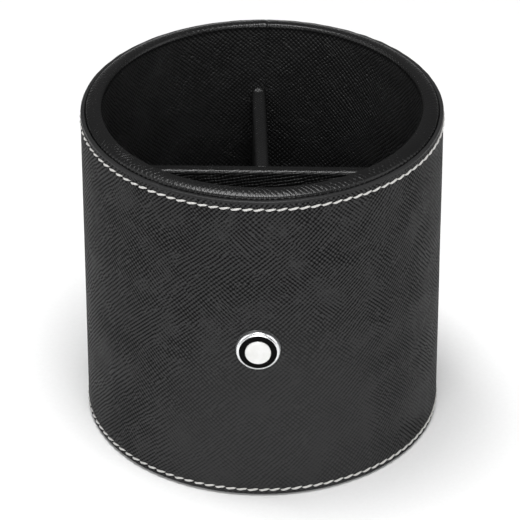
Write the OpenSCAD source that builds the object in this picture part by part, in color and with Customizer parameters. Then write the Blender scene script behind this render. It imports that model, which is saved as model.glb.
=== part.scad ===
// Round desk cup for pens: leather over rigid board, with a T-shaped divider inside.
// Millimetres, +Z up. The origin is on the cup's axis, on the face it rests on.
// The badge faces -Y, and the seams of the cover and the lining are at the back, +Y.

/* [Cup] */
// Outside diameter over the leather cover
cup_d = 99.2; // [92:0.2:110]
// Height from the resting face to the top of the rolled rim
cup_h = 96.3; // [88:0.1:115]

/* [Wall, from the outside in] */
// Thickness of the leather cover
cover_t = 1.1; // [0.8:0.1:1.4]
// Thickness of the rigid tube
shell_t = 2.8; // [2.4:0.1:3.2]
// Thickness of the card tube behind the lining
lining_board_t = 1.2; // [0.8:0.1:1.5]
// Thickness of the leather lining
lining_t = 0.8; // [0.6:0.1:0.9]

/* [Rim] */
// Drop from the top of the rim to the top edge of the cover
cover_drop = 1.4; // [1:0.1:1.8]
// Radius of the lip's edge towards the inside of the cup
lip_inner_round = 1.0; // [1:0.1:1.4]
// Radius of the lip's edge towards the cover
lip_outer_round = 1.2; // [1:0.1:1.5]
// Radius of the crown between the lip's two edges, highest near the inside
lip_crown = 6.5; // [6:0.5:12]
// Width of the groove between the lip and the cover
groove_w = 0.2; // [0.1:0.05:0.3]
// Depth of the lining tucked behind the cover, from the top of the rim
tuck_depth = 6; // [5:0.5:9]
// Rounding of the cover's top edge
hem_round = 0.5; // [0.3:0.1:0.7]

/* [Base] */
// Thickness of the soft pad under the base
pad_t = 1.2; // [1:0.1:2]
// Height of the cover's underside above the resting face
cover_lift = 0.2; // [0.1:0.05:0.4]
// Thickness of the board that closes the tube
base_board_t = 3; // [2:0.5:4]
// Thickness of the card under the floor lining
floor_board_t = 1; // [0.8:0.1:1.5]
// Width of the cover's edge turned in under the tube
turn_in_w = 3.6; // [3.4:0.1:6]

/* [Dividers] */
// Drop from the top of the rim to the top of the dividers
divider_drop = 20.9; // [10:0.1:40]
// Thickness of the board inside a divider
divider_board_t = 2.4; // [1.5:0.1:3]
// Thickness of the leather on a divider
divider_cover_t = 0.7; // [0.5:0.1:0.9]
// Rounding of a divider's top edges
divider_edge_round = 1.0; // [0.5:0.1:1.2]
// Turn of the rear divider away from the seam of the lining, in degrees
rear_divider_angle = 2.65; // [0:0.05:5]

/* [Seams] */
// Width of the butt seams in the cover and the lining
seam_w = 0.15; // [0.1:0.05:0.3]
// Place of the lining's seam, in degrees from the back
lining_seam_angle = 0.9; // [0:0.1:3]

/* [Stitching] */
// Stitches in each row
stitches = 102; // [90:1:110]
// Length of one visible stitch
stitch_len = 2.8; // [2:0.1:2.8]
// Thickness of the thread
thread_d = 0.64; // [0.5:0.02:0.8]
// Slant of each stitch, in degrees
stitch_slant = 7; // [0:1:12]
// Drop from the top of the rim to the top row
top_row_drop = 3.8; // [3.4:0.1:6]
// Height of the bottom row above the resting face
bottom_row_h = 2; // [1.6:0.1:5]
// Place of the top row's first stitch, in stitch pitches from the front
top_row_start = 0.1; // [0:0.05:1]
// Place of the bottom row's first stitch, in stitch pitches from the front
bottom_row_start = 0.5; // [0:0.05:1]

/* [Badge] */
// Outside diameter of the badge
badge_d = 12; // [10:0.5:14]
// Height of the badge's centre above the resting face
badge_h = 48.7; // [30:0.1:65]
// Distance that the badge's ring stands out from the cover
badge_proud = 1.9; // [1.6:0.1:2.6]
// Diameter of the domed centre piece
inlay_d = 7; // [5:0.2:7.2]
// Distance between the two pins
post_gap = 6.4; // [5:0.2:7]
// Diameter of the pins
post_d = 1.2; // [1:0.1:1.4]

/* [Hidden] */
$fn = 96;
// A little more than nothing, for cutters to pass right through a face
past = 1;

cover_r = cup_d / 2;
shell_r = cover_r - cover_t;
lining_board_r = shell_r - shell_t;
lining_r = lining_board_r - lining_board_t;
cavity_r = lining_r - lining_t;

cover_top = cup_h - cover_drop;
lip_r = shell_r - groove_w;
tuck_bottom = cup_h - tuck_depth;
tuck_r = lip_r - lining_t;
// The tube and the card end above the tuck's edge, and the rim's filler stands on them
shell_top = tuck_bottom + 2;

base_top = pad_t + base_board_t;
floor_board_top = base_top + floor_board_t;
floor_top = floor_board_top + lining_t;
pad_r = cover_r - turn_in_w - 0.1;
bottom_round = 0.8;

divider_top = cup_h - divider_drop;
divider_t = divider_board_t + 2 * divider_cover_t;
board_top = divider_top - divider_cover_t;

// The thread sinks half its thickness into a shallow groove in the cover
thread_r = thread_d / 2;
stitch_row_r = cover_r + 0.02;
stitch_groove_r = thread_r + 0.06;
stitch_point = 0.3;
stitch_tip_share = 0.55;
top_row_h = cup_h - top_row_drop;

badge_r = badge_d / 2;
enamel_r = badge_r - 0.85;
flank_round = 1.2;
// Depths in the badge are measured outwards from the tube's surface
badge_depth = cover_t + badge_proud;
bezel_floor = badge_depth - 1.2;
enamel_edge = badge_depth - 0.25;
enamel_crown = 0.15;
inlay_r = inlay_d / 2;
inlay_edge = enamel_edge + 0.55;
inlay_crown = 0.5;
badge_hole_clearance = 0.05;
washer_r = 2.2;
washer_t = 0.35;
washer_y = sqrt(pow(lining_board_r, 2) - pow(post_gap / 2 + washer_r, 2));
post_end_y = lining_r + 0.15;
window_w = 12.4;
window_h = 6;

leather = "#1f1f21";
lining_leather = "#19191b";
grey_board = "#8f8a80";
card = "#a59c8c";
suede = "#242426";
thread = "#e6e3da";
chrome = "#d8dade";
white = "#f0efec";
enamel = "#08080a";
steel = "#9a9da1";

// A tube between two radii and two heights
module tube(inner_r, outer_r, low, high) {
    translate([0, 0, low])
        difference() {
            cylinder(r = outer_r, h = high - low);
            translate([0, 0, -past])
                cylinder(r = inner_r, h = high - low + 2 * past);
        }
}

// A disc between two heights
module disc(outer_r, low, high) {
    translate([0, 0, low])
        cylinder(r = outer_r, h = high - low);
}

// A rectangle between two corners, in a section plane
module block(left, right, low, high) {
    translate([left, low])
        square([right - left, high - low]);
}

// What rounding takes off a corner, whose round has its centre at x, y
module corner_waste(x, y, radius, side_x, side_y) {
    translate([x, y])
        scale([side_x, side_y])
            difference() {
                square(radius + past);
                circle(radius);
            }
}

// Section of a wall with a crowned lip: a small round, a flat crown falling outwards, another small round
module lip_section(inner_r, outer_r, low, high, inner_round, outer_round, crown) {
    top_r = inner_r + inner_round;
    round_r = outer_r - outer_round;
    lean = asin((round_r - top_r) / (crown - outer_round));
    round_z = high - crown + (crown - outer_round) * cos(lean);
    reach = crown + past;
    difference() {
        block(inner_r, outer_r, low, high);
        corner_waste(top_r, high - inner_round, inner_round, -1, 1);
        // above the crown
        difference() {
            block(top_r, outer_r + past, round_z, high + past);
            translate([top_r, high - crown])
                circle(crown);
        }
        // outside the outer round
        translate([round_r, round_z])
            difference() {
                polygon([[0, 0], [reach * sin(lean), reach * cos(lean)], [reach, reach], [reach, 0]]);
                circle(outer_round);
            }
    }
}

// What the lining is wrapped over: the lip's section less the lining's thickness
module lip_filler_section(low) {
    lip_section(lining_r, tuck_r, low, cup_h - lining_t,
                lip_inner_round - lining_t, lip_outer_round - lining_t, lip_crown - lining_t);
}

// Section of a slab that stands on its edge, centred, with rounded top edges
module slab_section(thickness, low, high, edge_round) {
    difference() {
        block(-thickness / 2, thickness / 2, low, high);
        corner_waste(edge_round - thickness / 2, high - edge_round, edge_round, -1, 1);
        corner_waste(thickness / 2 - edge_round, high - edge_round, edge_round, 1, 1);
    }
}

// Lays a section of a divider along the X axis, between two places, and trims it to the cavity
module along_x(start, end) {
    intersection() {
        translate([start, 0, 0])
            rotate([90, 0, 90])
                linear_extrude(height = end - start)
                    children();
        disc(cavity_r, 0, cup_h);
    }
}

// Places the rear divider behind the centre one, turned away from the lining's seam
module behind_centre_divider() {
    intersection() {
        rotate([0, 0, rear_divider_angle])
            translate([0, divider_t / 4, 0])
                rotate([90, 0, 180])
                    linear_extrude(height = cavity_r + past)
                        children();
        disc(cavity_r, 0, cup_h);
        translate([-cavity_r, divider_t / 2, 0])
            cube([2 * cavity_r, cavity_r, cup_h]);
    }
}

// A thin cutter from the axis outwards, turned from the back by an angle
module seam_cutter(inner_r, angle) {
    rotate([0, 0, -angle])
        translate([-seam_w / 2, inner_r, -past])
            cube([seam_w, cover_r - inner_r + past, cup_h + 2 * past]);
}

// Puts a shape on the badge's axis, with its own +Z pointing out of the front
module on_badge_axis() {
    translate([0, -shell_r, badge_h])
        rotate([90, 0, 0])
            children();
}

// A round disc with a domed face, in a section plane
module domed_section(radius, low, edge, crown) {
    dome_r = (radius * radius + crown * crown) / (2 * crown);
    intersection() {
        block(0, radius, low, edge + crown);
        translate([0, edge + crown - dome_r])
            circle(dome_r, $fn = 12 * $fn);
    }
}

// The badge's two pin places
module at_posts() {
    for (side = [-1, 1])
        translate([side * post_gap / 2, 0, badge_h])
            children();
}

// Thread bent over the surface between two needle holes, pointed at both ends
module stitch() {
    half = stitch_len / 2;
    rotate([stitch_slant - 90, 0, 0])
        rotate_extrude()
            polygon([
                [0, -half],
                [thread_r * stitch_tip_share, -half],
                [thread_r, stitch_point - half],
                [thread_r, half - stitch_point],
                [thread_r * stitch_tip_share, half],
                [0, half]
            ]);
}

// One row of stitches round the cover
module stitch_row(height, start) {
    for (i = [0:stitches - 1])
        rotate([0, 0, (i + start) * 360 / stitches - 90])
            translate([stitch_row_r, 0, height])
                stitch();
}

module body_shell() {
    color(grey_board)
        difference() {
            tube(lining_board_r, shell_r, pad_t, shell_top);
            // rebate for the tucked lining
            tube(tuck_r, shell_r + past, tuck_bottom, shell_top + past);
            at_posts()
                rotate([90, 0, 0])
                    cylinder(d = post_d, h = cover_r);
        }
}

module base_board() {
    color(grey_board)
        disc(lining_board_r, pad_t, base_top);
}

module rim_core() {
    color(card)
        rotate_extrude()
            lip_filler_section(shell_top);
}

module lining_board() {
    color(card)
        difference() {
            tube(lining_r, lining_board_r, base_top, shell_top);
            // window behind the badge
            translate([-window_w / 2, -cover_r, badge_h - window_h / 2])
                cube([window_w, cover_r, window_h]);
        }
}

module floor_board() {
    color(card)
        disc(lining_r, base_top, floor_board_top);
}

module outer_cover() {
    color(leather)
        difference() {
            rotate_extrude()
                difference() {
                    union() {
                        block(shell_r, cover_r, cover_lift, cover_top);
                        block(cover_r - turn_in_w, cover_r, cover_lift, pad_t);
                    }
                    corner_waste(cover_r - hem_round, cover_top - hem_round, hem_round, 1, 1);
                    corner_waste(cover_r - bottom_round, cover_lift + bottom_round, bottom_round, 1, -1);
                    for (row = [top_row_h, bottom_row_h])
                        translate([stitch_row_r, row])
                            circle(stitch_groove_r);
                }
            seam_cutter(cover_r - turn_in_w - past, 0);
            on_badge_axis()
                translate([0, 0, -past])
                    cylinder(r = badge_r + badge_hole_clearance, h = badge_depth + past);
        }
}

module lining_wall() {
    color(lining_leather)
        difference() {
            rotate_extrude()
                difference() {
                    lip_section(cavity_r, lip_r, floor_top, cup_h,
                                lip_inner_round, lip_outer_round, lip_crown);
                    lip_filler_section(floor_top - past);
                    // below its tucked edge the lining is a single layer
                    block(lining_r, lip_r + past, floor_top - past, tuck_bottom);
                }
            seam_cutter(cavity_r - past, lining_seam_angle);
        }
}

module floor_lining() {
    color(lining_leather)
        disc(lining_r, floor_board_top, floor_top);
}

module base_pad() {
    color(suede)
        disc(pad_r, 0, pad_t);
}

module centre_divider_board() {
    color(grey_board)
        along_x(-cavity_r - past, cavity_r + past)
            block(-divider_board_t / 2, divider_board_t / 2, floor_top, board_top);
}

module centre_divider_cover() {
    color(leather)
        along_x(-cavity_r - past, cavity_r + past)
            difference() {
                slab_section(divider_t, floor_top, divider_top, divider_edge_round);
                block(-divider_board_t / 2, divider_board_t / 2, floor_top - past, board_top);
            }
}

module rear_divider_board() {
    color(grey_board)
        behind_centre_divider()
            block(-divider_board_t / 2, divider_board_t / 2, floor_top, board_top);
}

module rear_divider_cover() {
    color(leather)
        behind_centre_divider()
            difference() {
                slab_section(divider_t, floor_top, divider_top, divider_edge_round);
                block(-divider_board_t / 2, divider_board_t / 2, floor_top - past, board_top);
            }
}

module top_stitching() {
    color(thread)
        stitch_row(top_row_h, top_row_start);
}

module bottom_stitching() {
    color(thread)
        stitch_row(bottom_row_h, bottom_row_start);
}

module badge_bezel() {
    color(chrome)
        on_badge_axis()
            rotate_extrude()
                difference() {
                    block(0, badge_r, 0, badge_depth);
                    corner_waste(badge_r - flank_round, badge_depth - flank_round, flank_round, 1, 1);
                    block(-past, enamel_r, bezel_floor, badge_depth + past);
                }
}

module badge_enamel() {
    color(enamel)
        on_badge_axis()
            rotate_extrude()
                difference() {
                    domed_section(enamel_r, bezel_floor, enamel_edge, enamel_crown);
                    block(-past, inlay_r, 0, badge_depth + past);
                }
}

module badge_inlay() {
    color(white)
        on_badge_axis()
            rotate_extrude()
                domed_section(inlay_r, bezel_floor, inlay_edge, inlay_crown);
}

module badge_posts() {
    color(steel)
        at_posts()
            translate([0, -post_end_y, 0])
                rotate([90, 0, 0])
                    cylinder(d = post_d, h = shell_r - post_end_y);
}

module badge_washers() {
    color(steel)
        at_posts()
            translate([0, washer_t - washer_y, 0])
                rotate([90, 0, 0])
                    difference() {
                        cylinder(r = washer_r, h = washer_t);
                        translate([0, 0, -past])
                            cylinder(d = post_d, h = washer_t + 2 * past);
                    }
}

body_shell();
base_board();
rim_core();
lining_board();
floor_board();
outer_cover();
lining_wall();
floor_lining();
base_pad();
centre_divider_board();
centre_divider_cover();
rear_divider_board();
rear_divider_cover();
top_stitching();
bottom_stitching();
badge_bezel();
badge_enamel();
badge_inlay();
badge_posts();
badge_washers();
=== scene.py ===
"""Round leather desk cup for pens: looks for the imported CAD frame.

The board, card and pin nodes stay as they are and get materials. The leather, the thread, the pad and the
badge are modelled here in more detail, each in the space of its CAD node. Units are metres, with +Z up and
the badge at -Y.
"""
import math

import bmesh
import bpy
import numpy as np
from mathutils import Matrix, Vector


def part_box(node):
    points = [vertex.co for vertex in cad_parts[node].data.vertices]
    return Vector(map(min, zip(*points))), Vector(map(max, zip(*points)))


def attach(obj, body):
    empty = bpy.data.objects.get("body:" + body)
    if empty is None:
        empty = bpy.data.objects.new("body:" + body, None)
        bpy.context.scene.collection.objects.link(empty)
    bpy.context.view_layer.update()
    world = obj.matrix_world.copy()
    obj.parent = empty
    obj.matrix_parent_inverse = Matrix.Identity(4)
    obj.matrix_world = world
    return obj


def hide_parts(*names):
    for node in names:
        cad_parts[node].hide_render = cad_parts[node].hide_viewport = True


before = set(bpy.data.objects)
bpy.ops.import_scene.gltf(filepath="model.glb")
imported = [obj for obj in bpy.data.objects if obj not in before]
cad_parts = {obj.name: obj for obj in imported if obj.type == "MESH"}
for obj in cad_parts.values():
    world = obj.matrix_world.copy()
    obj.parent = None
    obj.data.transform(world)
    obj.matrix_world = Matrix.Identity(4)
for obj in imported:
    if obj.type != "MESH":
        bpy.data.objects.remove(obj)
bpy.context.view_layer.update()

MM = 0.001
TAU = 2 * math.pi
BODY = "root"

# ---------------------------------------------------------------- sizes from the frame

COVER_LOW, COVER_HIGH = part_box("outer_cover")
LINING_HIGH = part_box("lining_wall")[1]
FLOOR_LOW, FLOOR_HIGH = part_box("floor_lining")
PAD_LOW, PAD_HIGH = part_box("base_pad")
SHELL_LOW, SHELL_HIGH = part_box("body_shell")
CENTRE_LOW, CENTRE_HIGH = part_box("centre_divider_cover")
CENTRE_BOARD_LOW, CENTRE_BOARD_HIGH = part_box("centre_divider_board")
TOP_ROW_LOW, TOP_ROW_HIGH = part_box("top_stitching")
BOTTOM_ROW_LOW, BOTTOM_ROW_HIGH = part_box("bottom_stitching")
BEZEL_LOW, BEZEL_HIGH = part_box("badge_bezel")
ENAMEL_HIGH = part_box("badge_enamel")[1]
INLAY_LOW, INLAY_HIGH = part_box("badge_inlay")

COVER_R = COVER_HIGH.x
SHELL_R = SHELL_HIGH.x
LIP_R = LINING_HIGH.x
LINING_R = FLOOR_HIGH.x
CAVITY_R = CENTRE_HIGH.x
CORE_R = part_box("rim_core")[1].x
RIM_TOP = LINING_HIGH.z
FLOOR_TOP = FLOOR_HIGH.z
DIVIDER_TOP = CENTRE_HIGH.z
DIVIDER_T = CENTRE_HIGH.y - CENTRE_LOW.y
DIVIDER_BOARD_T = CENTRE_BOARD_HIGH.y - CENTRE_BOARD_LOW.y
DIVIDER_BOARD_TOP = CENTRE_BOARD_HIGH.z
TOP_ROW_Z = (TOP_ROW_LOW.z + TOP_ROW_HIGH.z) / 2
BOTTOM_ROW_Z = (BOTTOM_ROW_LOW.z + BOTTOM_ROW_HIGH.z) / 2
THREAD_OUT = TOP_ROW_HIGH.x
BADGE_Z = (BEZEL_LOW.z + BEZEL_HIGH.z) / 2
BADGE_R = (BEZEL_HIGH.x - BEZEL_LOW.x) / 2
BADGE_FACE = -BEZEL_LOW.y
BADGE_BACK = -BEZEL_HIGH.y
BADGE_DEPTH = 3.0 * MM
ENAMEL_R = ENAMEL_HIGH.x
INLAY_R = INLAY_HIGH.x

# ---------------------------------------------------------------- sizes that only the looks need

STITCHES = 102
STITCH_PITCH = TAU / STITCHES
TOP_ROW_START = 0.1
BOTTOM_ROW_START = 0.5
STITCH_LEN = 3.0 * MM
STITCH_SLANT = math.radians(7)
THREAD_R = 0.32 * MM

LINING_SEAM_ANGLE = math.radians(0.9)
REAR_ANGLE = math.radians(2.65)
LIP_INNER_ROUND = 1.0 * MM
LIP_OUTER_ROUND = 1.2 * MM
LIP_CROWN = 6.5 * MM
LINING_T = LINING_R - CAVITY_R
DIVIDER_EDGE_ROUND = 1.1 * MM

# ---------------------------------------------------------------- smooth random fields


class Waves:
    """A smooth field over (angle, height) that closes round the cup: a sum of waves with whole turns."""

    def __init__(self, seed, count, turns, rise):
        rng = np.random.default_rng(seed)
        self.turns = rng.integers(turns[0], turns[1] + 1, count)
        self.rise = rng.uniform(-rise, rise, count)
        self.phase = rng.uniform(0, TAU, count)
        self.size = rng.uniform(0.5, 1.0, count) / math.sqrt(count)

    def __call__(self, angle, height):
        total = np.zeros(np.broadcast(angle, height).shape)
        for n, k, p, a in zip(self.turns, self.rise, self.phase, self.size):
            total += a * np.sin(n * angle + k * height + p)
        return total


def bell(x, width):
    """1 at x = 0, falling to about nothing at twice the width."""
    return np.exp(-(x / width) ** 2)


def smooth_step(x, low, high):
    t = np.clip((x - low) / (high - low), 0, 1)
    return t * t * (3 - 2 * t)


# ---------------------------------------------------------------- outlines and meshes

SAME_CORNER = 0.001 * MM
SAME_POINT = 0.0001 * MM


def arc(centre, radius, start, end, count):
    """Points of a round stretch, angles in degrees."""
    turns = np.radians(np.linspace(start, end, count))
    return np.stack([centre[0] + radius * np.cos(turns), centre[1] + radius * np.sin(turns)], 1)


def straight(start, end, step):
    """Points of a straight stretch, without its last one."""
    start, end = np.array(start, float), np.array(end, float)
    count = max(1, math.ceil(np.linalg.norm(end - start) / step))
    share = np.arange(count)[:, None] / count
    return start + (end - start) * share


def outline(*stretches):
    """Joins stretches into one outline and drops points that coincide."""
    points = np.concatenate([np.atleast_2d(s) for s in stretches])
    keep = [0]
    for i in range(1, len(points)):
        if np.linalg.norm(points[i] - points[keep[-1]]) > SAME_CORNER:
            keep.append(i)
    return points[keep]


def new_piece(name, points, faces, material, node):
    """A mesh object in the row frame that rides on the cup and stands for the named CAD node."""
    mesh = bpy.data.meshes.new(name)
    mesh.from_pydata([tuple(p) for p in points], [], faces)
    mesh.validate()
    mesh.polygons.foreach_set("use_smooth", [True] * len(mesh.polygons))
    mesh.update()
    piece = bpy.data.objects.new(name, mesh)
    bpy.context.scene.collection.objects.link(piece)
    mesh.materials.append(material)
    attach(piece, BODY)
    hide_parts(node)
    merge_close(piece)


def merge_close(piece):
    """Joins points that coincide, such as a disc's centre, and turns all faces outwards."""
    edit = bmesh.new()
    edit.from_mesh(piece.data)
    bmesh.ops.remove_doubles(edit, verts=edit.verts, dist=SAME_POINT)
    bmesh.ops.recalc_face_normals(edit, faces=edit.faces)
    edit.to_mesh(piece.data)
    edit.free()
    piece.data.update()


def grid_faces(rows, columns, wrap_rows, wrap_columns, first=0):
    """Four-sided faces of a grid of points, row by row."""
    faces = []
    for i in range(rows if wrap_rows else rows - 1):
        for j in range(columns if wrap_columns else columns - 1):
            a = i * columns + j
            b = i * columns + (j + 1) % columns
            c = (i + 1) % rows * columns + (j + 1) % columns
            d = (i + 1) % rows * columns + j
            faces.append((first + a, first + b, first + c, first + d))
    return faces


def revolve(radius, height, angle):
    """Grid of points, one row for each angle, from the badge side: -Y at angle 0, +X at a quarter turn."""
    return np.stack(
        [radius * np.sin(angle), -radius * np.cos(angle), np.broadcast_to(height, radius.shape)], -1
    ).reshape(-1, 3)


def even_angles(count):
    return np.arange(count)[:, None] * (TAU / count)


def spread_section(section, angle):
    """The two coordinates of an outline, repeated for each angle."""
    first = np.broadcast_to(section[:, 0], (len(angle), len(section)))
    return first, np.broadcast_to(section[:, 1], first.shape)


def around_seam(angle, seam):
    """Signed angle from a seam, between minus and plus half a turn."""
    return (angle - seam + math.pi) % TAU - math.pi


# ---------------------------------------------------------------- node helpers


class Nodes:
    """Short names for building a material's node tree."""

    def __init__(self, name):
        self.material = bpy.data.materials.new(name)
        self.material.use_nodes = True
        self.tree = self.material.node_tree
        self.shader = self.tree.nodes["Principled BSDF"]

    def node(self, kind, **inputs):
        made = self.tree.nodes.new(kind)
        for key, value in inputs.items():
            self.feed(made.inputs[key.replace("_", " ")], value)
        return made

    def feed(self, socket, value):
        if isinstance(value, bpy.types.NodeSocket):
            self.tree.links.new(value, socket)
        else:
            socket.default_value = value

    def math(self, operation, first, second=0.0, clamp=False):
        made = self.tree.nodes.new("ShaderNodeMath")
        made.operation = operation
        made.use_clamp = clamp
        for socket, value in zip(made.inputs, (first, second)):
            self.feed(socket, value)
        return made.outputs[0]

    def place(self):
        """The point's place in the row frame."""
        return self.node("ShaderNodeTexCoord").outputs["Object"]

    def split(self, vector):
        return self.node("ShaderNodeSeparateXYZ", Vector=vector).outputs

    def join(self, x, y, z=0.0):
        return self.node("ShaderNodeCombineXYZ", X=x, Y=y, Z=z).outputs[0]

    def noise(self, vector, scale, detail=2.0, roughness=0.5):
        made = self.node("ShaderNodeTexNoise", Vector=vector, Scale=scale, Detail=detail, Roughness=roughness)
        return made.outputs[0]

    def span(self, value, low, high, to_low=0.0, to_high=1.0):
        made = self.tree.nodes.new("ShaderNodeMapRange")
        made.interpolation_type = "SMOOTHSTEP"
        for key, v in (("Value", value), ("From Min", low), ("From Max", high),
                       ("To Min", to_low), ("To Max", to_high)):
            self.feed(made.inputs[key], v)
        return made.outputs[0]

    def blend(self, share, first, second):
        """A number between two numbers."""
        made = self.tree.nodes.new("ShaderNodeMix")
        made.data_type = "FLOAT"
        self.feed(made.inputs[0], share)
        self.feed(made.inputs[2], first)
        self.feed(made.inputs[3], second)
        return made.outputs[0]

    def colour(self, share, first, second):
        """A colour between two colours."""
        made = self.tree.nodes.new("ShaderNodeMix")
        made.data_type = "RGBA"
        self.feed(made.inputs[0], share)
        self.feed(made.inputs[6], (*first, 1.0) if isinstance(first, tuple) else first)
        self.feed(made.inputs[7], (*second, 1.0) if isinstance(second, tuple) else second)
        return made.outputs[2]

    def bump(self, height, distance, strength=1.0, normal=None):
        made = self.node("ShaderNodeBump", Height=height, Distance=distance, Strength=strength)
        if normal is not None:
            self.feed(made.inputs["Normal"], normal)
        return made.outputs[0]

    def set(self, **values):
        for key, value in values.items():
            self.feed(self.shader.inputs[key.replace("_", " ")], value)
        return self.material


# ---------------------------------------------------------------- leather


def wrapped_place(n, radius):
    """Place on a sheet wrapped round the cup and over its edges: length round and up it, in millimetres."""
    x, y, z = n.split(n.place())
    turn = n.math("ARCTAN2", x, n.math("MULTIPLY", y, -1.0))
    reach = n.math("SQRT", n.math("ADD", n.math("MULTIPLY", x, x), n.math("MULTIPLY", y, y)))
    over_edge = n.math("ABSOLUTE", n.math("SUBTRACT", reach, radius))
    return n.math("MULTIPLY", turn, radius / MM), n.math("MULTIPLY", n.math("ADD", z, over_edge), 1 / MM)


def flat_place(n, first, second):
    """Place on a flat sheet, in millimetres, along two axes of the row frame."""
    axes = n.split(n.place())
    return n.math("MULTIPLY", axes[first], 1 / MM), n.math("MULTIPLY", axes[second], 1 / MM)


def folded_place(n, along, across, lay=0.0):
    """Place on a sheet folded over an upright slab, in millimetres. lay turns its grain by an angle."""
    axes = n.split(n.place())
    u = n.math("MULTIPLY", axes[along], 1 / MM)
    v = n.math("MULTIPLY", n.math("ADD", axes[2], axes[across]), 1 / MM)
    s, c = math.sin(lay), math.cos(lay)
    turned_u = n.math("SUBTRACT", n.math("MULTIPLY", u, c), n.math("MULTIPLY", v, s))
    turned_v = n.math("ADD", n.math("MULTIPLY", u, s), n.math("MULTIPLY", v, c))
    return turned_u, turned_v


SLOW_SWAY = 3.2  # mm that the lines wander over some centimetres
QUICK_SWAY = 0.26  # mm that they wander over a few millimetres
WIDE_PITCH = 1.13  # times the pitch, in the patches with wider lines
WIDE_SHIFT = 1.7  # radians that the wider lines are shifted by


def pressed_lines(n, across, along, pitch, seed):
    """One family of fine pressed lines, as depth from 0 to 1: wavy, and broken where two pitches meet."""
    slow = n.noise(n.join(across, along, seed + 2.0), 0.022, 1.0)
    quick = n.noise(n.join(n.math("MULTIPLY", across, 0.5), along, seed + 3.0), 0.20, 2.0)
    sway = n.math("ADD", n.math("MULTIPLY", slow, SLOW_SWAY), n.math("MULTIPLY", quick, QUICK_SWAY))
    bent = n.math("ADD", across, sway)
    first = n.math("SINE", n.math("MULTIPLY", bent, TAU / pitch))
    wider = n.math("MULTIPLY", bent, TAU / (pitch * WIDE_PITCH))
    second = n.math("SINE", n.math("ADD", wider, WIDE_SHIFT))
    patch = n.span(n.noise(n.join(across, along, seed), 0.16, 1.0), 0.45, 0.55)
    return n.span(n.blend(patch, first, second), -0.35, 0.75)


FADED = 0.25  # depth of a family of lines where it is weakest, against 1 where it is strongest
LINE_DEPTH = 0.70
CROSSING_DEPTH = 0.25


def pressed_grain(n, u, v, pitch, seed, lean):
    """Depth of a cross-hatch of lines at 45 degrees, and how strong its two families are together. lean
    favours the lines that rise to the right over those that fall."""
    diagonal = math.sqrt(0.5)
    up = n.math("MULTIPLY", n.math("ADD", u, v), diagonal)
    down = n.math("MULTIPLY", n.math("SUBTRACT", u, v), diagonal)
    rising = pressed_lines(n, down, up, pitch, seed)
    falling = pressed_lines(n, up, down, pitch, seed + 11.0)
    rising_patch = n.math("ADD", n.noise(n.join(u, v, seed + 5.0), 0.09, 2.0), lean)
    falling_patch = n.math("SUBTRACT", n.noise(n.join(u, v, seed + 23.0), 0.09, 2.0), lean)
    rising_share = n.span(rising_patch, 0.36, 0.60, FADED, 1.0)
    falling_share = n.span(falling_patch, 0.36, 0.60, FADED, 1.0)
    lines = n.math("ADD", n.math("MULTIPLY", rising, rising_share),
                   n.math("MULTIPLY", falling, falling_share))
    crossing = n.math("MULTIPLY", rising, falling)
    deep = n.math("ADD", n.math("MULTIPLY", lines, LINE_DEPTH), n.math("MULTIPLY", crossing, CROSSING_DEPTH))
    worn = n.span(n.noise(n.join(u, v, seed + 31.0), 0.5, 3.0), 0.3, 0.55, 0.65, 1.15)
    return n.math("MULTIPLY", deep, worn, clamp=True), n.math("ADD", rising_share, falling_share)


FAINT_X, FAINT_Z = 4 * MM, 8 * MM
FAINT_HALF_W, FAINT_HALF_H = 34 * MM, 52 * MM


def low_front(n):
    """1 low on the front of the cup, where the pressed grain is faint, fading to 0 round it."""
    x, y, z = n.split(n.place())
    across = n.math("DIVIDE", n.math("SUBTRACT", x, FAINT_X), FAINT_HALF_W)
    up = n.math("DIVIDE", n.math("SUBTRACT", z, FAINT_Z), FAINT_HALF_H)
    reach = n.math("ADD", n.math("MULTIPLY", across, across), n.math("MULTIPLY", up, up))
    front = n.span(y, -0.1 * COVER_R, -0.7 * COVER_R)
    return n.math("MULTIPLY", n.span(reach, 1.4, 0.2), front)


def near_top(n, top, start, end):
    """1 above the height end under the top, 0 below the height start under it."""
    return n.span(n.split(n.place())[2], top - start, top - end)


FAINT_GRAIN = 0.5  # depth of the grain that is left low on the front
EDGE_GRAIN = 0.12  # depth of the grain that is left where the leather is stretched over an edge
EDGE_CREASES = 2.6  # times as deep as the pores elsewhere
PORE_DEPTH = 0.012 * MM


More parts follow.
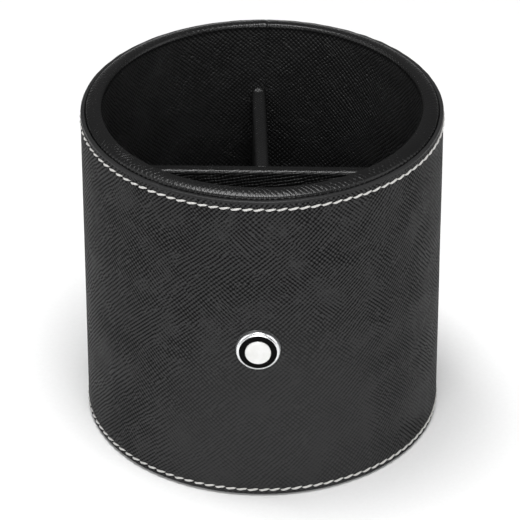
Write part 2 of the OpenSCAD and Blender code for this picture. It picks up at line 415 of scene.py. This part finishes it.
def leather(name, u_v, seed, pitch, light, dark, rough, depth, specular, lean=0.0, faint_front=False,
            edge=None, edge_rough=0.30, painted_edge_shade=1.0):
    """Black leather with pressed grain. u_v gives the place on the sheet, pitch the distance between lines in
    millimetres, and depth that of the lines in metres. light and dark are its shade between and in the
    lines, and rough its roughness there. edge is the height of an edge that the leather is stretched smooth
    over, and how far below it that starts and is complete. The colour there is multiplied by the last
    argument: painted shade that darkens the up-facing top of the edge under the light from above."""
    n = Nodes(name)
    u, v = u_v(n)
    grain, share = pressed_grain(n, u, v, pitch, seed, lean)
    # Low on the front the grain and its share of the tone are made fainter.
    if faint_front:
        kept = n.blend(low_front(n), 1.0, FAINT_GRAIN)
        grain, share = n.math("MULTIPLY", grain, kept), n.math("MULTIPLY", share, kept)
    if edge:
        stretched = near_top(n, *edge)
        kept = n.blend(stretched, 1.0, EDGE_GRAIN)
        grain, share = n.math("MULTIPLY", grain, kept), n.math("MULTIPLY", share, kept)
    sheet = n.join(u, v, seed)
    pores = n.noise(sheet, 2.4, 3.0, 0.6)
    tone = n.math("MULTIPLY", n.span(n.noise(sheet, 0.06, 2.0), 0.3, 0.7, 0.98, 1.04), light)
    tone = n.math("MULTIPLY", tone, n.math("ADD", 0.80, n.math("MULTIPLY", share, 0.22)))
    # Painted shade: on the edge the colour is darkened, where the light from above falls on the up-facing
    # top.
    if edge:
        tone = n.math("MULTIPLY", tone, n.blend(stretched, 1.0, painted_edge_shade))
    value = n.blend(grain, tone, dark)
    base = n.node("ShaderNodeCombineColor", Red=value, Green=value, Blue=n.math("MULTIPLY", value, 1.02))
    gloss = n.math("ADD", n.blend(grain, *rough), n.span(pores, 0.3, 0.7, -0.03, 0.04))
    if edge:
        gloss = n.blend(stretched, gloss, n.blend(grain, edge_rough, edge_rough + 0.25))
        pores = n.math("MULTIPLY", pores, n.blend(stretched, 1.0, EDGE_CREASES))
    fine = n.bump(pores, PORE_DEPTH, 0.6)
    normal = n.bump(n.math("MULTIPLY", grain, -1.0), depth, 1.0, fine)
    return n.set(Base_Color=base.outputs[0], Roughness=gloss, Normal=normal, Specular_IOR_Level=specular)


def lining_leather(name, u_v, seed, edge=None, light=0.023, painted_edge_shade=0.40):
    """The thinner, glossier leather inside the cup. By default its edge is painted to 0.40 of its colour:
    painted shade on the lip's up-facing top.
    """
    return leather(name, u_v, seed, pitch=0.90, light=light, dark=0.0006, rough=(0.30, 0.66), depth=0.42 * MM,
                   specular=0.27, lean=0.04, edge=edge, edge_rough=0.25, painted_edge_shade=painted_edge_shade)


# ---------------------------------------------------------------- other materials


def thread_material(name, light=(0.66, 0.65, 0.63), dark=(0.38, 0.37, 0.36)):
    """Off-white waxed thread with fine fibres and a little soiling."""
    n = Nodes(name)
    place = n.place()
    fibres = n.noise(place, 9000.0, 2.0, 0.6)
    soil = n.noise(place, 260.0, 2.0)
    share = n.math("MULTIPLY", n.span(fibres, 0.35, 0.75, 0.0, 0.55), n.span(soil, 0.35, 0.65, 0.6, 1.0))
    return n.set(Base_Color=n.colour(share, light, dark), Roughness=n.span(fibres, 0.2, 0.8, 0.5, 0.7),
                 Normal=n.bump(fibres, 0.02 * MM, 0.5), Sheen_Weight=0.2, Specular_IOR_Level=0.4)


def suede_material(name):
    """Matt black microfibre with a short nap."""
    n = Nodes(name)
    place = n.place()
    nap = n.noise(place, 5200.0, 3.0, 0.7)
    brushed = n.noise(place, 90.0, 2.0)
    share = n.math("ADD", n.math("MULTIPLY", nap, 0.6), n.math("MULTIPLY", brushed, 0.5))
    base = n.colour(n.span(share, 0.3, 0.8), (0.012, 0.012, 0.013), (0.04, 0.04, 0.042))
    return n.set(Base_Color=base, Roughness=n.span(brushed, 0.3, 0.7, 0.85, 0.97),
                 Normal=n.bump(nap, 0.12 * MM, 0.8), Sheen_Weight=0.35, Specular_IOR_Level=0.15)


def board_material(name, light, dark):
    """Pressed board with flecks of fibre."""
    n = Nodes(name)
    place = n.place()
    flecks = n.noise(place, 1500.0, 4.0, 0.7)
    cloud = n.noise(place, 60.0, 2.0)
    share = n.math("ADD", n.span(flecks, 0.45, 0.7, 0.0, 0.7), n.span(cloud, 0.3, 0.7, 0.0, 0.3))
    return n.set(Base_Color=n.colour(share, light, dark), Roughness=n.span(flecks, 0.3, 0.7, 0.82, 0.95),
                 Normal=n.bump(flecks, 0.05 * MM, 0.6))


def metal_material(name, tint, rough, scratches):
    """Polished or plain metal with a faint haze, and fine marks that are rougher by as much as scratches."""
    n = Nodes(name)
    place = n.place()
    haze = n.noise(place, 320.0, 2.0)
    marks = n.noise(place, 5200.0, 2.0, 0.7)
    hazy = n.span(haze, 0.3, 0.7, rough, rough * 1.8)
    marked = n.span(marks, 0.55, 0.75, 0.0, scratches)
    base = n.colour(n.span(haze, 0.3, 0.7), tint, tuple(0.93 * c for c in tint))
    return n.set(Base_Color=base, Metallic=1.0, Roughness=n.math("ADD", hazy, marked),
                 Normal=n.bump(marks, 0.002 * MM, 0.4))


def enamel_material(name, light, dark, specular):
    """Glossy enamel, very slightly wavy."""
    n = Nodes(name)
    place = n.place()
    ripple = n.noise(place, 420.0, 2.0)
    dust = n.noise(place, 7000.0, 2.0, 0.7)
    base = n.colour(n.span(ripple, 0.3, 0.7), light, dark)
    return n.set(Base_Color=base, Roughness=n.span(dust, 0.5, 0.8, 0.04, 0.1),
                 Normal=n.bump(ripple, 0.01 * MM, 0.4), Specular_IOR_Level=specular)


def floor_material(name):
    """Pale seamless studio paper."""
    n = Nodes(name)
    tooth = n.noise(n.place(), 900.0, 3.0, 0.6)
    base = n.colour(n.span(tooth, 0.3, 0.7), (0.92, 0.92, 0.92), (0.90, 0.90, 0.90))
    return n.set(Base_Color=base, Roughness=0.8, Normal=n.bump(tooth, 0.02 * MM, 0.2),
                 Specular_IOR_Level=0.2)


HEM_EDGE = (COVER_HIGH.z, 0.8 * MM, 0.4 * MM)
LIP_EDGE = (RIM_TOP, 2.2 * MM, 0.9 * MM)
DIVIDER_EDGE = (DIVIDER_TOP, 1.5 * MM, 0.7 * MM)
CENTRE_LAY = math.radians(35)

# Painted shade: the hem's top edge is painted to 0.72 of the cover's colour.
COVER_LEATHER = leather("cover_leather", lambda n: wrapped_place(n, COVER_R), 3.0, pitch=0.93, light=0.038,
                        dark=0.0012, rough=(0.56, 0.85), depth=0.26 * MM, specular=0.14, lean=0.05,
                        faint_front=True, edge=HEM_EDGE, painted_edge_shade=0.72)
# Painted shade: the lip's top is painted darker by the default edge tone of 0.40.
LINING_LEATHER = lining_leather("lining_leather", lambda n: wrapped_place(n, CAVITY_R), 41.0, LIP_EDGE)
FLOOR_LEATHER = lining_leather("floor_leather", lambda n: flat_place(n, 0, 1), 57.0)
# Painted shade: the dividers are the lining leather painted darker, 0.014 against 0.023, and darker again on
# their top edges, by 0.7 and 0.9.
CENTRE_LEATHER = lining_leather("centre_divider_leather", lambda n: folded_place(n, 0, 1, CENTRE_LAY), 71.0,
                                DIVIDER_EDGE, light=0.014, painted_edge_shade=0.7)
REAR_LEATHER = lining_leather("rear_divider_leather", lambda n: folded_place(n, 1, 0), 83.0,
                              DIVIDER_EDGE, light=0.014, painted_edge_shade=0.9)
THREAD = thread_material("thread")
SUEDE = suede_material("suede")
GREY_BOARD = board_material("grey_board", (0.32, 0.30, 0.27), (0.20, 0.19, 0.17))
CARD = board_material("card", (0.42, 0.38, 0.32), (0.30, 0.27, 0.22))
CHROME = metal_material("chrome", (0.90, 0.91, 0.92), 0.26, 0.05)
STEEL = metal_material("steel", (0.55, 0.56, 0.57), 0.25, 0.15)
ENAMEL = enamel_material("enamel", (0.0008, 0.0008, 0.0009), (0.0016, 0.0016, 0.0018), 0.05)
WHITE_ENAMEL = enamel_material("white_enamel", (0.88, 0.88, 0.87), (0.82, 0.82, 0.80), 0.5)

# ---------------------------------------------------------------- outer cover

CHANNEL_DEPTH, HOLE_DEPTH, SWELL_HEIGHT = 0.16 * MM, 0.26 * MM, 0.05 * MM
BADGE_PRESS, SEAM_DEPTH = 0.10 * MM, 0.22 * MM
COVER_UNEVEN, HEM_WAVER = 0.035 * MM, 0.05 * MM
STITCH_STEP, BADGE_STEP, WALL_STEP = 0.22 * MM, 0.6 * MM, 3.0 * MM
ROW_MARGIN, BADGE_MARGIN = 2.2 * MM, 1.5 * MM
COVER_STEPS_PER_STITCH = 8


def stitch_share(angle, start):
    """Distance along the row from the nearest stitch's middle, in pitches, from 0 to a half."""
    place = angle / STITCH_PITCH - start
    return np.abs(place - np.round(place))


def row_relief(angle, height, row_z, start):
    """How far thread and needle press the leather in, in metres, near one row of stitches."""
    rise = height - row_z
    channel = CHANNEL_DEPTH * bell(rise, 0.55 * MM)
    holes = HOLE_DEPTH * bell(stitch_share(angle, start) - 0.5, 0.13) * bell(rise, 0.36 * MM)
    swell = SWELL_HEIGHT * bell(np.abs(rise) - 1.1 * MM, 0.6 * MM)
    return channel + holes - swell


def badge_relief(angle, height):
    """The pocket that the badge sits in, and the leather pressed down round it, in metres."""
    distance = np.hypot(COVER_R * around_seam(angle, 0.0), height - BADGE_Z)
    pocket = (COVER_R - BADGE_BACK) * (1 - smooth_step(distance, BADGE_R - 0.75 * MM, BADGE_R - 0.25 * MM))
    return pocket + BADGE_PRESS * bell(distance - BADGE_R, 0.7 * MM)


def cover_heights():
    """Heights of the cover's rows of points: close together at the stitches and the badge."""
    bottom, top = COVER_LOW.z + 1.0 * MM, COVER_HIGH.z - 0.6 * MM
    above_row, below_row = BOTTOM_ROW_Z + ROW_MARGIN, TOP_ROW_Z - ROW_MARGIN
    below_badge, above_badge = BADGE_Z - BADGE_R - BADGE_MARGIN, BADGE_Z + BADGE_R + BADGE_MARGIN
    bands = [np.arange(bottom, above_row, STITCH_STEP),
             np.arange(above_row, below_badge, WALL_STEP),
             np.arange(below_badge, above_badge, BADGE_STEP),
             np.arange(above_badge, below_row, WALL_STEP),
             np.arange(below_row, top, STITCH_STEP)]
    heights = np.unique(np.concatenate(bands))
    return heights[np.insert(np.diff(heights) > 0.1 * MM, 0, True)]


def cover_section():
    """Closed outline of the cover: in under the base, up the outside, over the hem and down the tube."""
    turned_in = COVER_R - 3.6 * MM
    bottom_round, hem_round = 0.8 * MM, 0.45 * MM
    low, high = COVER_LOW.z, COVER_HIGH.z
    tube_low = SHELL_LOW.z - 0.05 * MM
    hem_back = high - 0.25 * MM
    heights = cover_heights()
    wall = np.stack([np.full_like(heights, COVER_R), heights], 1)
    return outline(
        straight((turned_in, tube_low), (turned_in, low), 0.5 * MM),
        straight((turned_in, low), (COVER_R - bottom_round, low), 1.2 * MM),
        arc((COVER_R - bottom_round, low + bottom_round), bottom_round, -90, 0, 6),
        wall,
        arc((COVER_R - hem_round, high - hem_round), hem_round, 0, 90, 6),
        straight((COVER_R - hem_round, high), (SHELL_R + 0.1 * MM, high), 0.25 * MM),
        straight((SHELL_R + 0.1 * MM, high), (SHELL_R, hem_back), 1.0 * MM),
        straight((SHELL_R, hem_back), (SHELL_R, tube_low), 30 * MM),
    )


def build_cover():
    section = cover_section()
    angle = even_angles(STITCHES * COVER_STEPS_PER_STITCH)
    radius, height = spread_section(section, angle)
    outside = smooth_step(radius, COVER_R - 0.55 * MM, COVER_R - 0.1 * MM)
    relief = row_relief(angle, height, TOP_ROW_Z, TOP_ROW_START)
    relief = relief + row_relief(angle, height, BOTTOM_ROW_Z, BOTTOM_ROW_START)
    relief = relief + badge_relief(angle, height)
    seam = around_seam(angle, math.pi) * COVER_R
    relief = relief + SEAM_DEPTH * bell(seam, 0.28 * MM)
    uneven = Waves(7, 24, (2, 24), 220)(angle, height) * COVER_UNEVEN
    radius = radius - outside * (relief + uneven)
    wavy_edge = Waves(9, 14, (3, 60), 0)(angle, height) * HEM_WAVER
    height = height + wavy_edge * smooth_step(height, COVER_HIGH.z - 0.8 * MM, COVER_HIGH.z)
    points = revolve(radius, height, angle)
    faces = grid_faces(len(angle), len(section), True, True)
    new_piece("cover_leather", points, faces, COVER_LEATHER, "outer_cover")


# ---------------------------------------------------------------- lining with its rolled rim

CREASE_HEIGHT, SLACK_HEIGHT = 0.014 * MM, 0.025 * MM
GROOVE_DEPTH, LAP_HEIGHT = 0.20 * MM, 0.16 * MM


def lip_arcs(inset, counts):
    """The lip's three arcs, from the inside of the cup outwards, this far under its surface."""
    top_r, round_r = CAVITY_R + LIP_INNER_ROUND, LIP_R - LIP_OUTER_ROUND
    lean = math.asin((round_r - top_r) / (LIP_CROWN - LIP_OUTER_ROUND))
    round_z = RIM_TOP - LIP_CROWN + (LIP_CROWN - LIP_OUTER_ROUND) * math.cos(lean)
    turn = 90 - math.degrees(lean)
    return [arc((top_r, RIM_TOP - LIP_INNER_ROUND), LIP_INNER_ROUND - inset, 180, 90, counts[0]),
            arc((top_r, RIM_TOP - LIP_CROWN), LIP_CROWN - inset, 90, turn, counts[1]),
            arc((round_r, round_z), LIP_OUTER_ROUND - inset, turn, 0, counts[2])]


def lining_section():
    """Closed outline of the lining: up the inside, over the lip and back, and how many points show."""
    tuck_low = SHELL_HIGH.z - 2.0 * MM
    shown_arcs = lip_arcs(0.0, (10, 12, 10))
    hidden_arcs = lip_arcs(LINING_T, (4, 5, 4))
    inner_face = outline(
        straight((CAVITY_R, FLOOR_TOP), shown_arcs[0][0], 3.0 * MM),
        *shown_arcs,
        straight(shown_arcs[2][-1], (LIP_R, tuck_low), 0.6 * MM),
        [(LIP_R, tuck_low)],
    )
    outer_face = outline(
        straight((CORE_R, tuck_low), hidden_arcs[2][-1], 2.0 * MM),
        *[points[::-1] for points in reversed(hidden_arcs)],
        straight(hidden_arcs[0][0], (LINING_R, FLOOR_TOP), 30 * MM),
        [(LINING_R, FLOOR_TOP)],
    )
    return np.concatenate([inner_face, outer_face]), len(inner_face)


def build_lining():
    section, shown_count = lining_section()
    shown = np.arange(len(section)) < shown_count
    angle = even_angles(720)
    radius, height = spread_section(section, angle)
    out_r, out_z = section_normals(section)
    creases = Waves(21, 40, (90, 300), 0)(angle, height) * CREASE_HEIGHT
    lip = smooth_step(height, RIM_TOP - 3.2 * MM, RIM_TOP - 1.2 * MM)
    slack = Waves(23, 16, (2, 18), 160)(angle, height) * SLACK_HEIGHT
    seam = around_seam(angle, math.pi - LINING_SEAM_ANGLE) * CAVITY_R
    groove = GROOVE_DEPTH * bell(seam, 0.32 * MM)
    lap = LAP_HEIGHT * smooth_step(seam, -0.1 * MM, 0.25 * MM) * (1 - smooth_step(seam, 1.5 * MM, 4.5 * MM))
    move = shown * (creases * lip + slack - groove + lap)
    radius = radius + out_r * move
    height = height + out_z * move
    points = revolve(radius, height, angle)
    faces = grid_faces(len(angle), len(section), True, True)
    new_piece("lining_leather", points, faces, LINING_LEATHER, "lining_wall")


def section_normals(section):
    """Unit normals of a closed outline that runs clockwise round its solid, as (radial, upward) parts."""
    ahead = np.roll(section, -1, 0) - section
    behind = section - np.roll(section, 1, 0)
    run = ahead / np.linalg.norm(ahead, axis=1, keepdims=True)
    run = run + behind / np.linalg.norm(behind, axis=1, keepdims=True)
    run = run / np.maximum(np.linalg.norm(run, axis=1, keepdims=True), 1e-9)
    return -run[:, 1], run[:, 0]


# ---------------------------------------------------------------- floor, pad


def build_disc(name, radius, low, high, edge_round, relief, material, node):
    """A soft disc with a rounded edge. relief(x, y) is how far the top stands up, in metres."""
    section = outline(
        [(0.0, low)],
        straight((0.4 * radius, low), (radius - edge_round, low), 3 * MM),
        arc((radius - edge_round, low + edge_round), edge_round, -90, 0, 4),
        arc((radius - edge_round, high - edge_round), edge_round, 0, 90, 5),
        straight((radius - edge_round, high), (0.5 * MM, high), 1.0 * MM),
        [(0.0, high)],
    )
    angle = even_angles(180)
    r, z = spread_section(section, angle)
    top = np.isclose(section[:, 1], high)
    z = z + top * relief(r * np.sin(angle), -r * np.cos(angle))
    faces = grid_faces(len(angle), len(section), True, False)
    new_piece(name, revolve(r, z, angle), faces, material, node)


def floor_relief(x, y):
    """Leather glued on card: nearly flat, with low swells some centimetres long."""
    return (0.03 * np.sin(x * 210 + 1.0) * np.sin(y * 170) - 0.03) * MM


def no_relief(x, y):
    return np.zeros(np.broadcast(x, y).shape)


# ---------------------------------------------------------------- dividers

RIPPLE_HEIGHT, FINE_RIPPLE_HEIGHT = 0.03 * MM, 0.006 * MM
REAR_PEAK = 0.7 * MM


def divider_face():
    """Outline of a divider's leather that shows, as (across, up): up the front, over the top and down
    the back."""
    half, top, edge_round = DIVIDER_T / 2, DIVIDER_TOP, DIVIDER_EDGE_ROUND
    return outline(
        straight((-half, FLOOR_TOP), (-half, top - edge_round), 2.5 * MM),
        arc((-half + edge_round, top - edge_round), edge_round, 180, 90, 7),
        straight((-half + edge_round, top), (half - edge_round, top), 0.3 * MM),
        arc((half - edge_round, top - edge_round), edge_round, 90, 0, 7),
        straight((half, top - edge_round), (half, FLOOR_TOP), 2.5 * MM),
        [(half, FLOOR_TOP)],
    )


def divider_skin():
    """Closed outline of the leather folded over a divider's board, and which of its points show."""
    outer = divider_face()
    half, top = DIVIDER_BOARD_T / 2, DIVIDER_BOARD_TOP
    inner = outline(
        straight((half, FLOOR_TOP), (half, top), 30 * MM),
        straight((half, top), (-half, top), 1 * MM),
        straight((-half, top), (-half, FLOOR_TOP), 30 * MM),
        [(-half, FLOOR_TOP)],
    )
    section = np.concatenate([outer, inner])
    return section, np.arange(len(section)) < len(outer)


def build_divider(name, material, node, ends, frame_of, peak=0.0):
    """Leather folded over a divider's board. ends(across, up) gives where it starts and ends along its
    length, and peak is how far its top rises where it meets the lining at its far end."""
    section, shown = divider_skin()
    share = np.linspace(0, 1, 161)[:, None]
    across, up = spread_section(section, share)
    start, end = ends(across, up)
    along = start + (end - start) * share
    high = smooth_step(up, DIVIDER_TOP - 2.5 * MM, DIVIDER_TOP)
    ripple = RIPPLE_HEIGHT * np.sin(along * 410 + 0.6) * np.sin(along * 170 + 2.0)
    ripple = ripple + FINE_RIPPLE_HEIGHT * np.sin(along * 1700 + 1.0)
    across = across + shown * np.sign(across) * (0.4 * ripple)
    lift = peak * smooth_step(along, end - 2.2 * MM, end - 0.3 * MM) * bell(across, 0.55 * DIVIDER_T)
    up = up + shown * high * (ripple + lift)
    points = frame_of(along, across, up)
    faces = grid_faces(len(share), len(section), False, True)
    count = len(section)
    first_end = tuple(range(count))[::-1]
    last_end = tuple(len(points) - count + i for i in range(count))
    new_piece(name, points, faces + [first_end, last_end], material, node)


def across_the_cup(across, up):
    """The centre divider's ends lie on the lining."""
    reach = np.sqrt((CAVITY_R - 0.02 * MM) ** 2 - across ** 2)
    return -reach, reach


def behind_the_centre(across, up):
    """The rear divider starts at the centre divider's back, fills its rounded edge and ends on the lining."""
    start = (DIVIDER_T / 2 - across * math.sin(REAR_ANGLE)) / math.cos(REAR_ANGLE)
    over_edge = DIVIDER_EDGE_ROUND * smooth_step(up, DIVIDER_TOP - DIVIDER_EDGE_ROUND, DIVIDER_TOP - 0.1 * MM)
    return start - over_edge, np.sqrt((CAVITY_R - 0.02 * MM) ** 2 - across ** 2)


def centre_frame(along, across, up):
    return np.stack([along, across, up], -1).reshape(-1, 3)


def rear_frame(along, across, up):
    s, c = math.sin(REAR_ANGLE), math.cos(REAR_ANGLE)
    return np.stack([-s * along + c * across, c * along + s * across, up], -1).reshape(-1, 3)


# ---------------------------------------------------------------- stitches


def stitch_points(rng):
    """One stitch in its own frame: x along the row, y outwards from the cover, z up. Twisted in two plies."""
    rings, sides = 15, 12
    s = np.linspace(-1, 1, rings)[:, None]
    turn = np.arange(sides)[None, :] * (TAU / sides)
    length = STITCH_LEN * rng.uniform(0.96, 1.03)
    x = length / 2 * s
    bend = THREAD_R * 0.50 * np.sin(math.pi * s) * rng.uniform(0.7, 1.2)
    z = x * math.tan(STITCH_SLANT * rng.uniform(0.8, 1.2)) + bend * 0.45
    y = THREAD_OUT - COVER_R - THREAD_R - 0.9 * THREAD_R * np.abs(s) ** 3.2
    plump = np.sqrt(np.clip(1 - np.abs(s) ** 2.6, 0.04, 1))
    twist = turn - s * 3.4 + rng.uniform(0, TAU)
    ply = 0.86 + 0.14 * np.abs(np.cos(twist))
    size = THREAD_R * plump * ply
    out = y + size * np.cos(turn) * 0.94
    up = z + size * np.sin(turn) * 1.04
    return np.stack([np.broadcast_to(x, out.shape), out, up], -1)


def build_row(name, row_z, start, seed, node):
    """One row of separate stitches round the cover."""
    rng = np.random.default_rng(seed)
    points, faces = [], []
    for i in range(STITCHES):
        stitch = stitch_points(rng)
        rings, sides = stitch.shape[:2]
        angle = (i + start + rng.uniform(-0.02, 0.02)) * STITCH_PITCH
        out = np.array([math.sin(angle), -math.cos(angle), 0.0])
        side = np.array([math.cos(angle), math.sin(angle), 0.0])
        place = out * COVER_R + np.array([0, 0, row_z + rng.uniform(-0.05, 0.05) * MM])
        x, y, z = (stitch[..., k].reshape(-1, 1) for k in range(3))
        first = len(points) * rings * sides
        sag = COVER_R - np.sqrt(COVER_R ** 2 - x ** 2)
        points.append(place + x * side + (y - sag) * out + z * np.array([0, 0, 1.0]))
        faces += grid_faces(rings, sides, False, True, first)
        faces.append(tuple(first + k for k in range(sides))[::-1])
        faces.append(tuple(first + (rings - 1) * sides + k for k in range(sides)))
    new_piece(name, np.concatenate(points), faces, THREAD, node)


# ---------------------------------------------------------------- badge


def badge_turned(name, section, material, node, ring=False):
    """A turned piece on the badge's axis: a solid one, or a ring, whose section closes on itself. The section
    is (radius, distance in front of the cup's axis)."""
    angle = even_angles(128)
    radius, depth = spread_section(section, angle)
    points = np.stack([radius * np.sin(angle), -depth, BADGE_Z + radius * np.cos(angle)], -1).reshape(-1, 3)
    faces = grid_faces(len(angle), len(section), True, ring)
    new_piece(name, points, faces, material, node)


def build_bezel():
    flank = 1.2 * MM
    inner_r = ENAMEL_R
    pocket = -ENAMEL_HIGH.y
    face = BADGE_BACK + BADGE_DEPTH
    lean = math.degrees(math.acos((inner_r + 0.05 * MM - BADGE_R + flank) / flank))
    section = outline(
        [(0.0, BADGE_BACK)],
        straight((1.0 * MM, BADGE_BACK), (BADGE_R - 0.2 * MM, BADGE_BACK), 1 * MM),
        straight((BADGE_R - 0.2 * MM, BADGE_BACK), (BADGE_R, BADGE_BACK + 0.2 * MM), 1 * MM),
        straight((BADGE_R, BADGE_BACK + 0.2 * MM), (BADGE_R, face - flank), 0.4 * MM),
        arc((BADGE_R - flank, face - flank), flank, 0, lean, 16),
        straight((inner_r, BADGE_FACE - 0.08 * MM), (inner_r, pocket), 0.3 * MM),
        straight((inner_r, pocket), (1.0 * MM, pocket), 1.5 * MM),
        [(0.0, pocket)],
    )
    badge_turned("badge_bezel_chrome", section, CHROME, "badge_bezel")


def build_enamel():
    low, edge = -ENAMEL_HIGH.y, BADGE_FACE - 0.10 * MM
    edge_r = ENAMEL_R - 0.03 * MM
    spread = np.linspace(edge_r - 0.06 * MM, INLAY_R + 0.12 * MM, 18)
    dome = np.stack([spread, edge + 0.16 * MM - 0.14 * MM * (spread / edge_r) ** 2], 1)
    section = outline(
        [(INLAY_R, low)],
        straight((INLAY_R, low), (edge_r, low), 1 * MM),
        straight((edge_r, low), (edge_r, edge - 0.02 * MM), 0.3 * MM),
        dome,
        [(INLAY_R + 0.04 * MM, dome[-1][1] - 0.05 * MM), (INLAY_R, dome[-1][1] - 0.16 * MM)],
    )
    badge_turned("badge_enamel_black", section, ENAMEL, "badge_enamel", ring=True)


def build_inlay():
    low, crown = -INLAY_HIGH.y, 0.55 * MM
    edge = -INLAY_LOW.y - crown
    edge_r = INLAY_R - 0.02 * MM
    spread = np.linspace(edge_r, 0.0, 16)
    dome = np.stack([spread, edge + crown * np.sqrt(1 - (spread / INLAY_R) ** 2)], 1)
    section = outline(
        [(0.0, low)],
        straight((0.6 * MM, low), (edge_r, low), 0.6 * MM),
        straight((edge_r, low), (edge_r, edge), 0.4 * MM),
        dome,
    )
    badge_turned("badge_inlay_dome", section, WHITE_ENAMEL, "badge_inlay")


# ---------------------------------------------------------------- carried-over CAD nodes


def dress_cad_nodes():
    """Better materials for the board, card and pins, which keep their CAD shapes."""
    looks = {
        GREY_BOARD: ["body_shell", "base_board", "centre_divider_board", "rear_divider_board"],
        CARD: ["rim_core", "lining_board", "floor_board"],
        STEEL: ["badge_posts", "badge_washers"],
    }
    for material, names in looks.items():
        for name in names:
            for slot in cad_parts[name].material_slots:
                slot.material = material


# ---------------------------------------------------------------- stage, light and camera

CAMERA_PITCH = math.radians(32.53)
CAMERA_TURN = math.radians(1.38)
CAMERA_ROLL = math.radians(-0.11)
CAMERA_DISTANCE = 1.0696
CAMERA_LENS = 264.46
CAMERA_SENSOR = 36.0
AIM_HEIGHT = 45.36 * MM
AIM_SIDE = -0.65 * MM
FLOOR_HALF = 4.0
SKY_STRENGTH = 0.12


def build_camera():
    data = bpy.data.cameras.new("camera")
    data.sensor_width = CAMERA_SENSOR
    data.lens = CAMERA_LENS
    data.clip_start = 0.05
    camera = bpy.data.objects.new("camera", data)
    bpy.context.scene.collection.objects.link(camera)
    side = Vector((math.cos(CAMERA_TURN), math.sin(CAMERA_TURN), 0))
    back = Vector((math.sin(CAMERA_TURN), -math.cos(CAMERA_TURN), 0))
    up = Vector((0, 0, 1))
    aim = up * AIM_HEIGHT + side * AIM_SIDE
    camera.location = aim + CAMERA_DISTANCE * (back * math.cos(CAMERA_PITCH) + up * math.sin(CAMERA_PITCH))
    turn = Matrix.Rotation(CAMERA_TURN, 3, "Z") @ Matrix.Rotation(math.pi / 2 - CAMERA_PITCH, 3, "X")
    camera.rotation_euler = (turn @ Matrix.Rotation(CAMERA_ROLL, 3, "Z")).to_euler()
    bpy.context.scene.camera = camera


def add_area_light(name, place, size, power, aim=(0, 0, 0.05)):
    data = bpy.data.lights.new(name, "AREA")
    data.shape = "RECTANGLE"
    data.size, data.size_y = size
    data.energy = power
    light = bpy.data.objects.new(name, data)
    bpy.context.scene.collection.objects.link(light)
    light.location = place
    light.rotation_euler = (Vector(place) - Vector(aim)).to_track_quat("Z", "Y").to_euler()
    return light


def build_floor():
    edit = bmesh.new()
    bmesh.ops.create_grid(edit, x_segments=8, y_segments=8, size=FLOOR_HALF)
    mesh = bpy.data.meshes.new("studio_floor")
    edit.to_mesh(mesh)
    edit.free()
    floor = bpy.data.objects.new("studio_floor", mesh)
    bpy.context.scene.collection.objects.link(floor)
    floor.location.z = PAD_LOW.z
    mesh.materials.append(floor_material("studio_floor"))


def build_world():
    world = bpy.data.worlds.new("studio")
    world.use_nodes = True
    sky = world.node_tree.nodes["Background"]
    sky.inputs["Color"].default_value = (1, 1, 1, 1)
    sky.inputs["Strength"].default_value = SKY_STRENGTH
    bpy.context.scene.world = world
    bpy.context.scene.view_settings.view_transform = "Standard"


def build_studio():
    """Camera, floor, soft light from above and in front, and side strips that only reflections show."""
    build_camera()
    build_floor()
    build_world()
    add_area_light("softbox", place=(-0.04, -0.045, 1.25), size=(0.9, 0.36), power=16.7)
    add_area_light("front_fill", place=(0.0, -1.30, 0.72), size=(1.2, 0.7), power=9.8, aim=(0, -0.05, 0.05))
    for side in (-1, 1):
        strip = add_area_light("side_strip", place=(side * 0.95, -0.15, 0.75), size=(0.8, 1.3), power=5.0,
                               aim=(0, -0.15, 0.65))
        strip.visible_diffuse = False


build_cover()
build_lining()
build_disc("floor_lining_leather", LINING_R, FLOOR_LOW.z, FLOOR_HIGH.z, 0.15 * MM, floor_relief,
           FLOOR_LEATHER, "floor_lining")
build_disc("base_pad_suede", PAD_HIGH.x, PAD_LOW.z, PAD_HIGH.z, 0.4 * MM, no_relief,
           SUEDE, "base_pad")
build_divider("centre_divider_leather", CENTRE_LEATHER, "centre_divider_cover", across_the_cup, centre_frame)
build_divider("rear_divider_leather", REAR_LEATHER, "rear_divider_cover", behind_the_centre, rear_frame,
              peak=REAR_PEAK)
build_row("top_stitches", TOP_ROW_Z, TOP_ROW_START, 5, "top_stitching")
build_row("bottom_stitches", BOTTOM_ROW_Z, BOTTOM_ROW_START, 6, "bottom_stitching")
build_bezel()
build_enamel()
build_inlay()
dress_cad_nodes()
build_studio()
